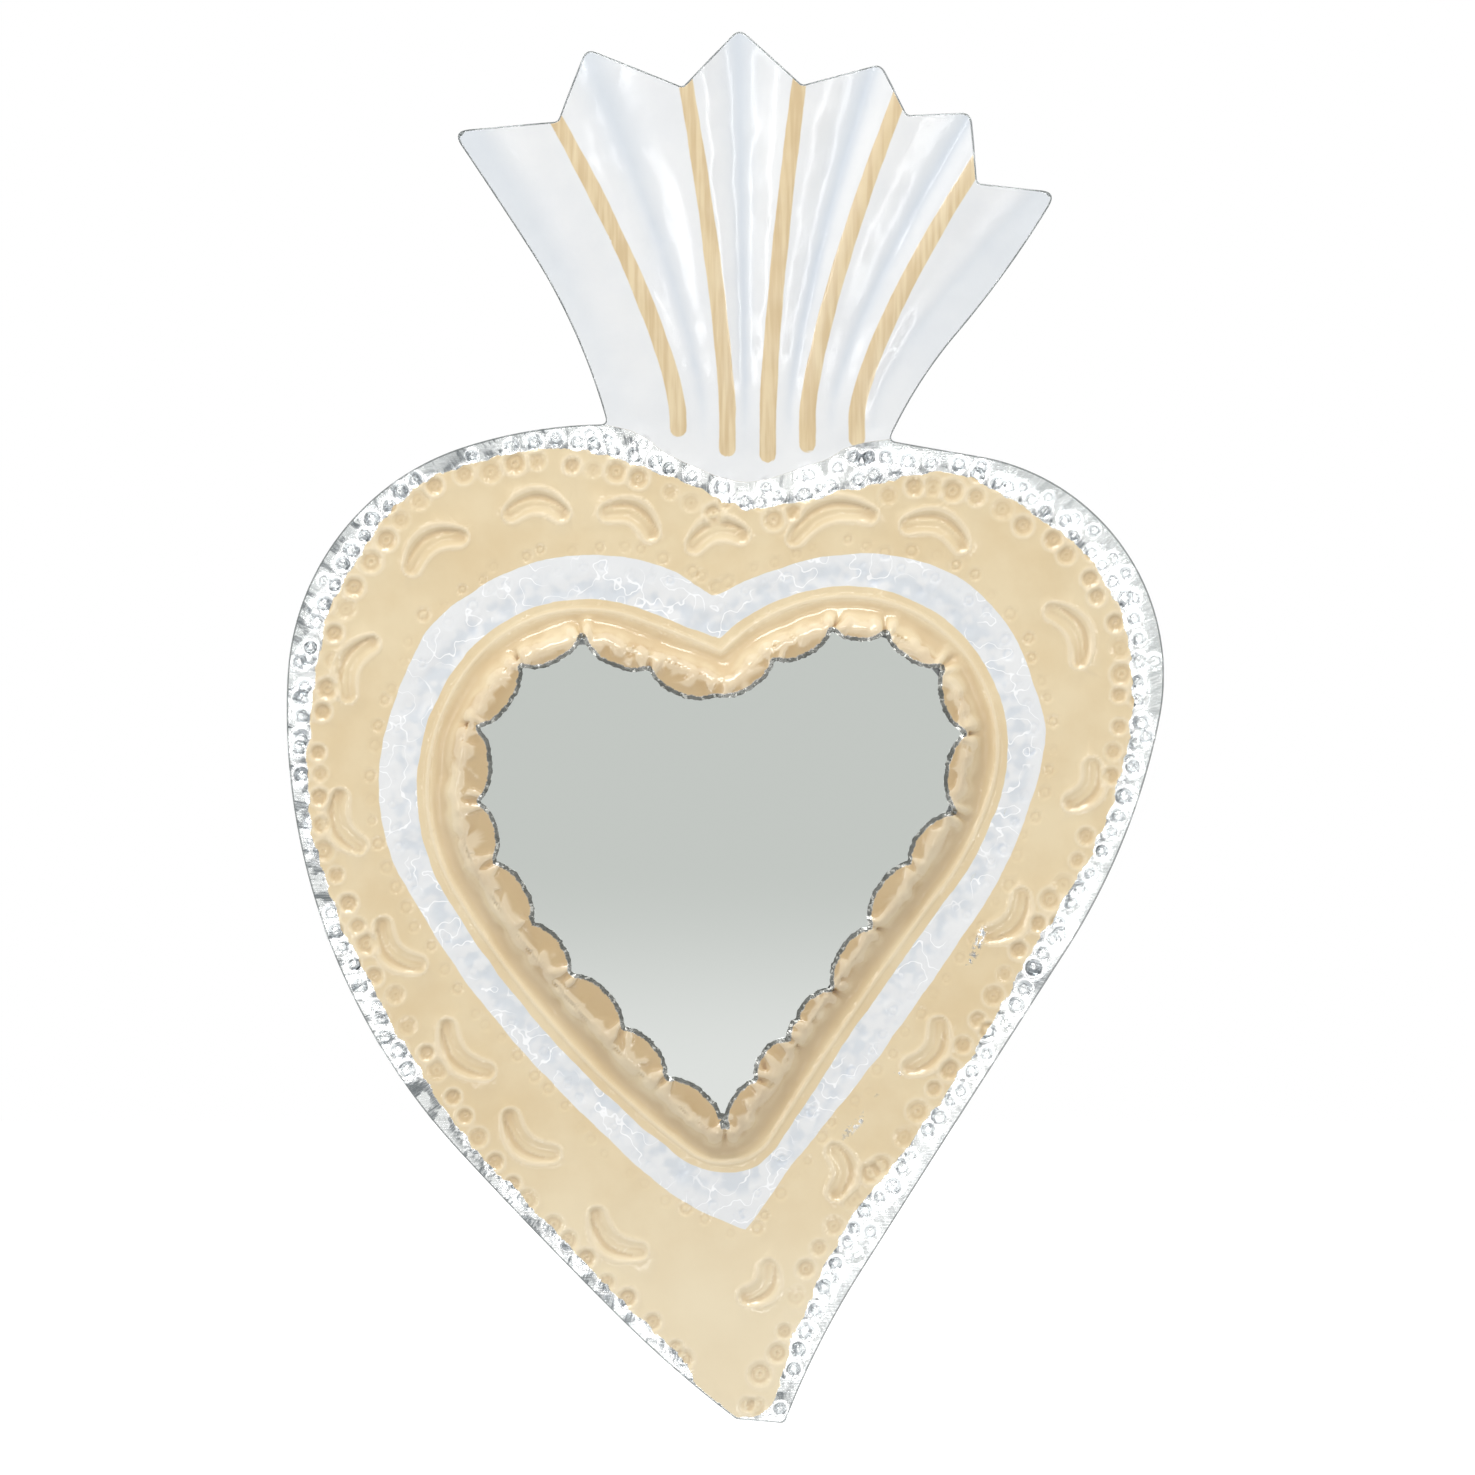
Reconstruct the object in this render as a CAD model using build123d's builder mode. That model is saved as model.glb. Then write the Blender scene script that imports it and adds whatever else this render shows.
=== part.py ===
from build123d import *

import math
import os

os.makedirs("parts", exist_ok=True)

# A hand-worked tin wall mirror: a heart with a crown of fluted flames, cut from one sheet of tinplate.
#
# The sheet's middle is beaten forward into a heart-shaped pocket. Its wall ends in a rounded hump, and from
# there the sheet slopes in as petals, snipped along the window's edge, that lie on the glass and hold it
# from the front. A card and a flat back plate, soldered round its edge, close the pocket from behind. A
# wire loop in a folded tin strap, soldered behind the foot of the crown, hangs the mirror on a nail.
#
# Frame, in millimetres: X to the viewer's right, Z up, and the viewer in front at -Y. The origin is on
# the back plate's rear face, the one towards the wall, behind the middle of the glass.

# ---------------------------------------------------------------- driving dimensions, in millimetres

heart_width = 158.0  # across the lobes
heart_height = 180.0
crown_width = 107.0  # across the outermost flames
crown_height = 71.0  # from the neck to the tallest flame
tip_round = 1.2  # rounding of the flames' tips
neck_round = 2.5  # rounding of the corners between heart and crown

sheet_t = 0.4  # enamelled tinplate
plate_t = 0.4  # bare tinplate of the back plate
card_t = 0.8  # card between back plate and glass
glass_t = 2.0  # thin mirror glass

side_border = 28.5  # from the heart's edge to the heart that the middle is marked out with, at the lobes
end_border = 39.0  # the same above and below it
bead_inset = 2.0  # from the marked heart in to the raised line round the pocket
bead_width = 1.8  # of that line, where it leaves the sheet
bead_crest = 0.6  # the same, along its crest
bead_height = 0.45
wall_foot = 3.5  # from the marked heart in to the foot of the pocket's wall
wall_run = 2.1  # how far the wall leans inwards as it rises
hump_height = 0.6  # of the hump, above the petals where they lie on the glass
hump_bevel = 0.7  # along the top of the hump
petal_run = 2.6  # from the hump in to where the petals meet the glass

petal_reach = 6.8  # from the marked heart in to the snips, on average
petal_bulge = 0.17  # how far a petal's edge bows over the glass, per length of petal
snip_depth = 0.6
snip_width = 0.6

glass_clearance = 0.3  # from the glass and the card to the inside of the pocket
plate_margin = 4.0  # of the back plate, beyond the marked heart

flute_depth = 2.2  # from a flame's hollow to the ridges beside it, at the crown's top
flute_foot = 0.1  # the same at the flutes' feet
flute_start = 2.0  # from the neck up to where the flutes begin
flute_crest = 1.8  # of the flat along each ridge and each hollow

mark_length = 12.6  # curved punch marks, from point to point
mark_bow = 5.0  # of a mark's outer edge
mark_width = 3.4
mark_depth = 0.8
mark_slope = 40  # of the marks' sides, in degrees from the sheet
mark_point = 1.5  # how far a mark's points draw in, per distance that its sides do

tack_count = 8  # solder tacks round the back plate
tack_radius = 3.0  # where a tack lies on the sheet
tack_height = 0.9

wire_d = 1.5  # hanging loop
loop_width = 14.0  # inside the loop
loop_reach = 12.5  # inside the loop, from its straight bar to the bottom of its bend
loop_corner = 1.6  # cut off each corner by the tight bends at the bar's ends
axis_below_neck = 0.5  # the loop's axis, under the neck
wire_fit = 0.08  # radial clearance of the wire in the strap

strap_t = 0.4
strap_width = 6.0
strap_drop = 5.2  # from the loop's axis to the strap's lower end
strap_straight = 0.8  # of the outer leaf, before it leans in
strap_slant = 3.4  # from the loop's axis to where the two leaves meet
strap_tack_radius = 1.7
strap_tack_height = 0.7

# ---------------------------------------------------------------- levels, counted forwards from the wall

sheet_back = plate_t
sheet_front = sheet_back + sheet_t
glass_back = plate_t + card_t
glass_front = glass_back + glass_t
petal_front = glass_front + sheet_t

# ---------------------------------------------------------------- the pocket's wall

pocket_width = heart_width - 2 * side_border
pocket_height = heart_height - 2 * end_border
opening_width = pocket_width - 2 * petal_reach
opening_height = pocket_height - 2 * petal_reach
wall_height = petal_front + hump_height - sheet_front
hump_inset = wall_foot + wall_run
wall_lean = math.degrees(math.atan2(wall_run, wall_height))
petal_lean = math.degrees(math.atan2(petal_run, hump_height))
# The sheet's two faces are sheet_t apart, so at each bend the rear one lies this much further in.
foot_shift = sheet_t * math.tan(math.radians(90 - wall_lean) / 2)
hump_shift = sheet_t * math.tan(math.radians(petal_lean - wall_lean) / 2)
mark_run = mark_depth / math.tan(math.radians(mark_slope))
mark_shift = sheet_t * math.tan(math.radians(mark_slope) / 2)
glass_inset = hump_inset + hump_shift + glass_clearance

# ---------------------------------------------------------------- outlines

# Each bent line is a chain of arcs through a few points, in shares of a width and a height. Its heading is
# the way that it sets out, in degrees from level.

# Sides of the heart, clockwise: the right one from the neck down and the left one from the tip up.
RIGHT_HEADING = -10.2
RIGHT_SIDE = ((0.290, 0.424), (0.496, 0.162), (0.389, -0.071), (0.154, -0.394))
TIP = ((0.068, -0.544), (0.013, -0.540))  # the chopped tip, right corner first
LEFT_HEADING = 142.9
LEFT_SIDE = ((-0.122, -0.437), (-0.303, -0.272), (-0.499, 0.204), (-0.299, 0.433))
NECK = 0.456

# The crown, clockwise from its left corner at the neck, in shares of its width and height above the neck.
LEFT_CORNER = (-0.198, 0.0)
LEFT_FLANK_HEADING = 105.1
LEFT_FLANK = (-0.330, 0.447)
FLAMES = (
    (-0.461, 0.745), (-0.281, 0.766), (-0.234, 0.955), (-0.071, 0.853), (0.024, 1.006),
    (0.130, 0.858), (0.262, 0.915), (0.306, 0.782), (0.414, 0.792), (0.424, 0.610), (0.560, 0.590),
)  # fmt: skip
RIGHT_FLANK_HEADING = -120.4
RIGHT_FLANK = (0.391, 0.231)
RIGHT_CORNER = (0.276, -0.041)

# The heart marked out for the pocket, clockwise from its cleft, in shares of its width and height.
CLEFT = (-0.005, 0.399)
POCKET_HEADING = 46.7
POCKET = (
    (0.157, 0.491), (0.471, 0.155), (0.383, -0.015), (0.081, -0.452), (-0.060, -0.478),
    (-0.477, -0.022), (-0.449, 0.381), (-0.163, 0.460),
)  # fmt: skip

# The snips between the petals, clockwise from the cleft, in shares of the opening's width and height.
SNIPS = (
    (-0.018, 0.372), (0.103, 0.445), (0.220, 0.507), (0.330, 0.501), (0.445, 0.432), (0.489, 0.299),
    (0.469, 0.140), (0.375, 0.040), (0.294, -0.092), (0.217, -0.219), (0.146, -0.280),
    (0.128, -0.321), (0.072, -0.357), (0.062, -0.403), (0.0, -0.501), (-0.118, -0.399),
    (-0.206, -0.297), (-0.315, -0.188), (-0.393, -0.084), (-0.472, 0.040), (-0.503, 0.160),
    (-0.505, 0.310), (-0.418, 0.433), (-0.294, 0.494), (-0.157, 0.427),
)  # fmt: skip

# The curved punch marks: middle of the chord, in shares of the heart's width and height, and the chord's
# slope in degrees. Their bow faces the heart's edge.
MARKS = (
    (-0.215, 0.374, 0), (-0.106, 0.364, -25), (-0.010, 0.347, 12), (0.120, 0.360, 17),
    (0.242, 0.352, -20), (-0.334, 0.334, 32), (-0.424, 0.214, 65), (-0.436, 0.056, 111),
    (-0.376, -0.070, 132), (-0.300, -0.174, 132), (-0.226, -0.261, 139), (-0.127, -0.359, 140),
    (0.044, -0.407, 233), (0.134, -0.292, 272), (0.234, -0.170, 236), (0.326, -0.040, 231),
    (0.396, 0.248, 299), (0.414, 0.092, 240),
)  # fmt: skip

# The crown's flutes, from left to right: each line's place at the neck, and how far it fans out by the
# crown's top, in shares of the crown's width. Hollows and ridges take turns, and hollows come first.
FLUTES = (
    (-0.185, -0.381), (-0.079, -0.306), (-0.037, -0.224), (0.004, -0.089), (0.034, -0.013), (0.072, 0.067),
    (0.108, 0.164), (0.139, 0.209), (0.180, 0.335), (0.222, 0.374), (0.252, 0.607),
)  # fmt: skip
FLUTE_MARGIN = 8.0  # of the fluted strip, past the outermost hollows, before the crown is cut from it

neck = NECK * heart_height
crown_base = neck + flute_start


def facing(x, forward, z):
    """The sketch plane that faces the viewer at a point. Its own x is X and its own y is Z."""
    return Plane(origin=(x, -forward, z), x_dir=(1, 0, 0), z_dir=(0, -1, 0))


def level(forward):
    """The same plane on one level, this far in front of the wall."""
    return facing(0, forward, 0)


def placed(shares, width, height, rise=0.0):
    """Points given in shares of a width and a height, in millimetres."""
    return [(x * width, y * height + rise) for x, y in shares]


def bent_line(heading, *points):
    """A chain of arcs through the points. Each starts the way the last one ends."""
    direction = Vector(1, 0).rotate(Axis.Z, heading)
    for here, after in zip(points, points[1:]):
        arc = TangentArc(here, after, tangent=direction)
        direction = arc % 1


def pocket_heart(inwards, forward):
    """The marked heart as a face on one level, moved inwards by a distance."""
    cleft, *rest = placed((CLEFT, *POCKET), pocket_width, pocket_height)
    with BuildSketch(level(forward)) as heart:
        with BuildLine():
            bent_line(POCKET_HEADING, cleft, *rest, cleft)
        make_face()
        offset(amount=-inwards)
    return heart.sketch


def ball_radius(foot, height):
    """Radius of the ball whose cap is a drop of solder with this foot radius and height."""
    return (foot**2 + height**2) / (2 * height)


# ---------------------------------------------------------------- outline of heart and crown

neck_corners = placed((LEFT_CORNER, RIGHT_CORNER), crown_width, crown_height, neck)
flanks = placed((LEFT_FLANK, RIGHT_FLANK), crown_width, crown_height, neck)
flames = placed(FLAMES, crown_width, crown_height, neck)
tip = placed(TIP, heart_width, heart_height)

with BuildSketch(level(0)) as outline:
    with BuildLine():
        bent_line(LEFT_FLANK_HEADING, neck_corners[0], flanks[0], flames[0])
        Polyline(*flames)
        bent_line(RIGHT_FLANK_HEADING, flames[-1], flanks[1], neck_corners[1])
        bent_line(RIGHT_HEADING, neck_corners[1], *placed(RIGHT_SIDE, heart_width, heart_height), tip[0])
        Line(tip[0], tip[1])
        bent_line(LEFT_HEADING, tip[1], *placed(LEFT_SIDE, heart_width, heart_height), neck_corners[0])
    make_face()
    for points, rounding in ((flames[0::2], tip_round), (neck_corners, neck_round)):
        for point in points:
            fillet(outline.vertices().sort_by_distance(Vector(*point))[0], rounding)


# ---------------------------------------------------------------- crown of flames, as a fluted strip


def flute_section(share):
    """One level section through the crown's sheet: a thin wave of even thickness."""
    lines = [(foot + spread * share) * crown_width for foot, spread in FLUTES]
    depth = flute_foot + (flute_depth - flute_foot) * share
    wave = [(lines[0] - FLUTE_MARGIN, depth / 2)]
    for place, x in enumerate(lines):
        wave += [(x - flute_crest / 2, depth * (place % 2)), (x + flute_crest / 2, depth * (place % 2))]
    wave += [(lines[-1] + FLUTE_MARGIN, depth / 2)]
    front = [(x, -sheet_front - rise) for x, rise in wave]
    back = [(x, -sheet_back - rise) for x, rise in reversed(wave)]
    with BuildSketch(Plane.XY.offset(crown_base + share * crown_height)) as section:
        with BuildLine():
            Polyline(*front, *back, close=True)
        make_face()
    return section.sketch


with BuildPart() as crown:
    loft([flute_section(0), flute_section(1)], ruled=True)
    extrude(outline.sketch, amount=3 * (sheet_front + flute_depth), both=True, mode=Mode.INTERSECT)


# ---------------------------------------------------------------- raised line round the pocket

bead_slope = math.degrees(math.atan2(bead_width - bead_crest, 2 * bead_height))

with BuildPart() as bead:
    extrude(pocket_heart(bead_inset - bead_width / 2, sheet_front), amount=bead_height, taper=bead_slope)
    extrude(
        pocket_heart(bead_inset + bead_width / 2, sheet_front),
        amount=bead_height,
        taper=-bead_slope,
        mode=Mode.SUBTRACT,
    )

# ---------------------------------------------------------------- tools that shape the heart


def pocket_block(inset, foot_level, hump_inset):
    """A solid heart whose wall leans in up to a hump, with a shallow dish inside the hump."""
    top_level = foot_level + wall_height
    with BuildPart() as block:
        extrude(pocket_heart(inset, foot_level), amount=wall_height, taper=wall_lean)
        extrude(
            pocket_heart(hump_inset, top_level), amount=-hump_height, taper=petal_lean, mode=Mode.SUBTRACT
        )
    return block.part


def punch(share_x, share_z, slope, growth, forward):
    """The curved punch at one mark: a crescent that narrows as it goes in."""
    with BuildPart() as tool:
        for depth, inset in ((0, -growth), (mark_depth, mark_run - growth)):
            half = Vector(mark_length / 2 - mark_point * inset, 0).rotate(Axis.Z, slope)
            with BuildSketch(facing(share_x * heart_width, forward - depth, share_z * heart_height)):
                with BuildLine():
                    SagittaArc(-half, half, mark_bow - inset)
                    SagittaArc(-half, half, mark_bow - mark_width + inset)
                make_face()
        loft()
    return tool.part


# ---------------------------------------------------------------- front sheet: heart and crown in one piece

snips = [Vector(*snip) for snip in placed(SNIPS, opening_width, opening_height)]

with BuildSketch(level(glass_front)) as window:
    with BuildLine():
        for here, after in zip(snips, snips[1:] + snips[:1]):
            SagittaArc(here, after, petal_bulge * (after - here).length)
    make_face()
    for before, here, after in zip(snips[-1:] + snips[:-1], snips, snips[1:] + snips[:1]):
        along = (after - before).normalized()
        inwards = along.rotate(Axis.Z, -90)
        mouth = here + inwards * snip_width
        side = along * snip_width / 2
        with BuildLine():
            Polyline(here - inwards * snip_depth, mouth + side, mouth - side, close=True)
        make_face()

with BuildPart() as front_sheet:
    extrude(outline.sketch.moved(Location((0, -sheet_back, 0))), amount=sheet_t)
    split(bisect_by=Plane.XY.offset(crown_base), keep=Keep.BOTTOM)
    add(bead.part)
    add(pocket_block(wall_foot, sheet_front, hump_inset))
    chamfer(front_sheet.edges().group_by(Axis.Y)[0], hump_bevel)
    add(pocket_block(wall_foot + foot_shift, sheet_back, hump_inset + hump_shift), mode=Mode.SUBTRACT)
    extrude(window.sketch, amount=2 * (hump_height + sheet_t), both=True, mode=Mode.SUBTRACT)
    for mark in MARKS:
        add(punch(*mark, mark_shift, sheet_back))
        add(punch(*mark, 0, sheet_front), mode=Mode.SUBTRACT)
    add(crown.part)

front_sheet.part.label = "front_sheet"
export_step(front_sheet.part, "parts/front_sheet.step")

# ---------------------------------------------------------------- glass, card and back plate

with BuildPart() as mirror_glass:
    extrude(pocket_heart(glass_inset, glass_back), amount=glass_t)

mirror_glass.part.label = "mirror_glass"
export_step(mirror_glass.part, "parts/mirror_glass.step")

with BuildPart() as backing_card:
    extrude(pocket_heart(glass_inset, plate_t), amount=card_t)

backing_card.part.label = "backing_card"
export_step(backing_card.part, "parts/backing_card.step")

plate_face = pocket_heart(-plate_margin, 0)

with BuildPart() as back_plate:
    extrude(plate_face, amount=plate_t)

back_plate.part.label = "back_plate"
export_step(back_plate.part, "parts/back_plate.step")

# ---------------------------------------------------------------- solder round the back plate

plate_edge = plate_face.faces()[0].outer_wire()
tack_seats = [plate_edge @ (tack / tack_count) for tack in range(tack_count)]

with BuildPart() as plate_solder:
    drop = ball_radius(tack_radius, tack_height)
    with Locations([(seat.X, tack_height - drop - sheet_back, seat.Z) for seat in tack_seats]):
        Sphere(drop)
    split(bisect_by=level(sheet_back), keep=Keep.BOTTOM)
    extrude(plate_face, amount=2 * tack_height, both=True, mode=Mode.SUBTRACT)

plate_solder.part.label = "plate_solder"
export_step(plate_solder.part, "parts/plate_solder.step")

# ---------------------------------------------------------------- hanger: wire loop in a folded strap

wire_r = wire_d / 2
fold_r = wire_r + wire_fit  # inside of the strap's fold
axis_back = strap_t + fold_r - sheet_back  # the loop's axis, behind the wall plane
axis_height = neck - axis_below_neck

loop_half = loop_width / 2 + wire_r
loop_depth = loop_reach + wire_d

with BuildPart() as hanging_loop:
    with BuildLine(facing(0, -axis_back, axis_height)) as ring:
        right = Polyline(
            (0, 0),
            (loop_half - loop_corner, 0),
            (loop_half, -loop_corner),
            (loop_half, loop_half - loop_depth),
        )
        bend = JernArc(right @ 1, right % 1, loop_half, -180)
        Polyline(bend @ 1, (-loop_half, -loop_corner), (loop_corner - loop_half, 0), (0, 0))
    with BuildSketch(Plane(origin=right @ 0, z_dir=right % 0)):
        Circle(wire_r)
    sweep(path=ring.wires()[0], transition=Transition.RIGHT)

hanging_loop.part.label = "hanging_loop"
export_step(hanging_loop.part, "parts/hanging_loop.step")

# The strap in section: X is the way to the wall and Y is up, both from the loop's axis.
strap_section = Plane(origin=(-strap_width / 2, axis_back, axis_height), x_dir=(0, 1, 0), z_dir=(1, 0, 0))

# The space inside the strap: round over the wire, and a wedge below it where the outer leaf leans in.
with BuildSketch(strap_section) as fold_space:
    with BuildLine():
        fold = CenterArc((0, 0), fold_r, 0, 180)
        Polyline(fold @ 1, (-fold_r, -strap_slant), (fold_r, -strap_straight), fold @ 0)
    make_face()

with BuildPart() as hanger_strap:
    with BuildSketch(strap_section):
        add(fold_space.sketch_local)
        offset(amount=strap_t)
        with Locations((-fold_r, -strap_slant)):
            Rectangle(2 * strap_t, strap_drop - strap_slant, align=(Align.CENTER, Align.MAX))
    extrude(amount=strap_width)
    extrude(fold_space.sketch, amount=strap_width, mode=Mode.SUBTRACT)

hanger_strap.part.label = "hanger_strap"
export_step(hanger_strap.part, "parts/hanger_strap.step")

with BuildPart() as strap_solder:
    drop = ball_radius(strap_tack_radius, strap_tack_height)
    depth = strap_tack_height - drop - sheet_back
    with Locations(
        (-strap_width / 2, depth, axis_height - strap_drop),
        (strap_width / 2, depth, axis_height - strap_drop),
    ):
        Sphere(drop)
    split(bisect_by=level(sheet_back), keep=Keep.BOTTOM)
    add(hanger_strap.part, mode=Mode.SUBTRACT)

strap_solder.part.label = "strap_solder"
export_step(strap_solder.part, "parts/strap_solder.step")
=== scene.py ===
import math

import bpy
import numpy as np
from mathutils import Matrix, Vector


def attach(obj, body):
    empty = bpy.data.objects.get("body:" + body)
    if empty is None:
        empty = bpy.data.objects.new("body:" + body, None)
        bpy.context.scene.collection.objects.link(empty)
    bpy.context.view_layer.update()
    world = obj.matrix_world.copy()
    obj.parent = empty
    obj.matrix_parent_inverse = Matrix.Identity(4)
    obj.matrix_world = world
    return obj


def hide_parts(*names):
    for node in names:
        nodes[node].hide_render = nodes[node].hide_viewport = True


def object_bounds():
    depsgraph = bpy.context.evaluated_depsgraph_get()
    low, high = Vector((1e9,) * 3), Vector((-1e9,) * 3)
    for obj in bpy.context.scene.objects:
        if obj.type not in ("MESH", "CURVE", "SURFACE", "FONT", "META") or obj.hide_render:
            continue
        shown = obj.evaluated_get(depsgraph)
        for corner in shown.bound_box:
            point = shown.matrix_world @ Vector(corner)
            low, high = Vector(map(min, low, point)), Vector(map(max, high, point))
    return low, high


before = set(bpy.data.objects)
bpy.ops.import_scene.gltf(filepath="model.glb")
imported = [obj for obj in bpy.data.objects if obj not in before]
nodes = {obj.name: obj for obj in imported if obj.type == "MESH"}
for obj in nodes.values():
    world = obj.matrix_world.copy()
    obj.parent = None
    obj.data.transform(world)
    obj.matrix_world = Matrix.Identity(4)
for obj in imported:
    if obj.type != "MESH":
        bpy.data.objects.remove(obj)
cad_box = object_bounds()

# ---------------------------------------------------------------- front sheet
# Heart and crown of flames, cut by hand from one sheet of thin tinplate. The flutes, the pocket, the chisel
# marks and the rings of the nail set are beaten in from the front and from behind; then the sheet is
# painted with a sand lacquer and white enamel, and its edge is left bare.

# Sizes are in millimetres here, and metres only in the finished meshes.
MM = 0.001
rng = np.random.default_rng(7)

HEART = (158.0, 180.0)  # width and height
CROWN = (107.0, 71.0)
NECK = 0.456 * HEART[1]  # height of the neck, where the crown stands
POCKET = (101.0, 102.0)  # of the heart marked out for the pocket
OPENING = (87.4, 88.4)
SHEET = 0.4  # thickness
FLAT_FRONT = 0.8  # level of the flat sheet's front face, in front of the wall
FOREMOST = -cad_box[0][1] / MM
HAIR = 0.01  # by which the sheet stays inside the box of the solids
CELL = 0.36  # of the grid on which the sheet is beaten
FLAMES_FROM = NECK + 20.0  # the flames' tips all lie above this level


def shares(points, size, rise=0.0):
    """Points given in shares of a width and a height."""
    return [(x * size[0], z * size[1] + rise) for x, z in points]


def arcs(heading, points, step=0.6):
    """Points along a chain of arcs, each starting the way the last one ends."""
    way = np.array([math.cos(math.radians(heading)), math.sin(math.radians(heading))])
    line = []
    for here, after in zip(points[:-1], points[1:]):
        chord = np.subtract(after, here)
        length = np.hypot(*chord)
        half = math.atan2(way[0] * chord[1] - way[1] * chord[0], way @ chord)
        across = np.array([-way[1], way[0]])
        radius = length / (2 * math.sin(half))
        turn = 2 * half * np.arange(0, 1, min(0.5, step / length))[:, None]
        line.append(here + radius * (np.sin(turn) * way + (1 - np.cos(turn)) * across))
        way = math.cos(2 * half) * way + math.sin(2 * half) * across
    return np.vstack(line)


def freehand(points, step=14):
    """A smooth line through the given points."""
    p = np.array(points, float)
    p = np.vstack([2 * p[0] - p[1], p, 2 * p[-1] - p[-2]])
    t = np.linspace(0, 1, step, endpoint=False)[:, None]
    line = []
    for a, b, c, d in zip(p[:-3], p[1:-2], p[2:-1], p[3:]):
        line.append(b + 0.5 * t * (c - a + t * (2 * a - 5 * b + 4 * c - d + t * (3 * b - a - 3 * c + d))))
    return np.vstack(line)


def rounded(line, tip_radius, radius, sharp=25):
    """A closed line with its sharp corners rounded, and the crown's tips more so."""
    before, after = line - np.roll(line, 1, 0), np.roll(line, -1, 0) - line
    cross = before[:, 0] * after[:, 1] - before[:, 1] * after[:, 0]
    turn = np.abs(np.arctan2(cross, (before * after).sum(1)))
    run = np.r_[0, np.cumsum(np.hypot(*after.T))]
    whole = run[-1]
    ring = np.vstack([line, line[:1]])
    keep = np.ones(len(line), bool)
    places, pieces = [], []
    t = np.linspace(0, 1, 8)[:, None]
    for k in np.nonzero(turn > math.radians(sharp))[0]:
        wide = tip_radius if cross[k] < 0 and line[k, 1] > FLAMES_FROM else radius
        reach = wide * math.tan(turn[k] / 2)
        keep &= np.abs((run[:-1] - run[k] + whole / 2) % whole - whole / 2) > reach
        first, last = [
            [np.interp((run[k] + side * reach) % whole, run, ring[:, axis]) for axis in (0, 1)]
            for side in (-1, 1)
        ]
        places.append((run[k] + (2 * t[:, 0] - 1) * reach) % whole)
        pieces.append((1 - t) ** 2 * first + 2 * t * (1 - t) * line[k] + t**2 * last)
    places = np.concatenate([run[:-1][keep], *places])
    return np.vstack([line[keep], *pieces])[np.argsort(places)]


# Outline, clockwise from the crown's left corner at the neck. Each chain of arcs sets out with a heading in
# degrees.
LEFT_FLANK, RIGHT_FLANK, RIGHT_SIDE, LEFT_SIDE = 105.1, -120.4, -10.2, 142.9
corners = shares(((-0.198, 0.0), (0.276, -0.041)), CROWN, NECK)
flanks = shares(((-0.330, 0.447), (0.391, 0.231)), CROWN, NECK)
flames = shares(
    (
        (-0.461, 0.745), (-0.281, 0.766), (-0.234, 0.955), (-0.071, 0.853), (0.024, 1.006),
        (0.130, 0.858), (0.262, 0.915), (0.306, 0.782), (0.414, 0.792), (0.424, 0.610), (0.560, 0.590),
    ),
    CROWN,
    NECK,
)  # fmt: skip
right_side = shares(((0.290, 0.424), (0.496, 0.162), (0.389, -0.071), (0.154, -0.394)), HEART)
left_side = shares(((-0.122, -0.437), (-0.303, -0.272), (-0.499, 0.204), (-0.299, 0.433)), HEART)
tip = shares(((0.068, -0.544), (0.013, -0.540)), HEART)
outline = rounded(
    np.vstack(
        [
            arcs(LEFT_FLANK, [corners[0], flanks[0], flames[0]]),
            flames[:-1],
            arcs(RIGHT_FLANK, [flames[-1], flanks[1], corners[1]]),
            arcs(RIGHT_SIDE, [corners[1], *right_side, tip[0]]),
            tip[:1],
            arcs(LEFT_SIDE, [tip[1], *left_side, corners[0]]),
        ]
    ),
    tip_radius=1.9,
    radius=1.0,
)

# The heart marked out for the pocket, clockwise from its cleft. The enamel band starts at it.
cleft, *bends = shares(
    (
        (-0.005, 0.399), (0.157, 0.491), (0.471, 0.155), (0.383, -0.015), (0.081, -0.452),
        (-0.060, -0.478), (-0.477, -0.022), (-0.449, 0.381), (-0.163, 0.460),
    ),
    POCKET,
)  # fmt: skip
CLEFT_HEADING = 46.7
marked = arcs(CLEFT_HEADING, [cleft, *bends, cleft])

# The window's edge: petals between snips, with the small jags of the shears.
snips = np.array(
    shares(
        (
            (-0.018, 0.372), (0.103, 0.445), (0.220, 0.507), (0.330, 0.501), (0.445, 0.432), (0.489, 0.299),
            (0.469, 0.140), (0.375, 0.040), (0.294, -0.092), (0.217, -0.219), (0.146, -0.280),
            (0.128, -0.321), (0.072, -0.357), (0.062, -0.403), (0.0, -0.501), (-0.118, -0.399),
            (-0.206, -0.297), (-0.315, -0.188), (-0.393, -0.084), (-0.472, 0.040), (-0.503, 0.160),
            (-0.505, 0.310), (-0.418, 0.433), (-0.294, 0.494), (-0.157, 0.427),
        ),
        OPENING,
    )
)  # fmt: skip
PETAL_BULGE = 0.17  # of a petal's edge, per length of petal
PETAL_SQUARENESS = 2.6  # over 2, so a petal is squarer than a plain bow
EDGE_STEP, JAG = 0.4, 0.1
window = []
for here, after in zip(snips, np.roll(snips, -1, 0)):
    chord = after - here
    length = np.hypot(*chord)
    inwards = np.array([chord[1], -chord[0]]) / length
    t = np.arange(0, 1, EDGE_STEP / length)[:, None]
    bow = PETAL_BULGE * length * (1 - (2 * np.abs(t - 0.5)) ** PETAL_SQUARENESS) + rng.normal(0, JAG, t.shape)
    window.append(here + t * chord + bow * inwards)
window = np.vstack(window)

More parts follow.
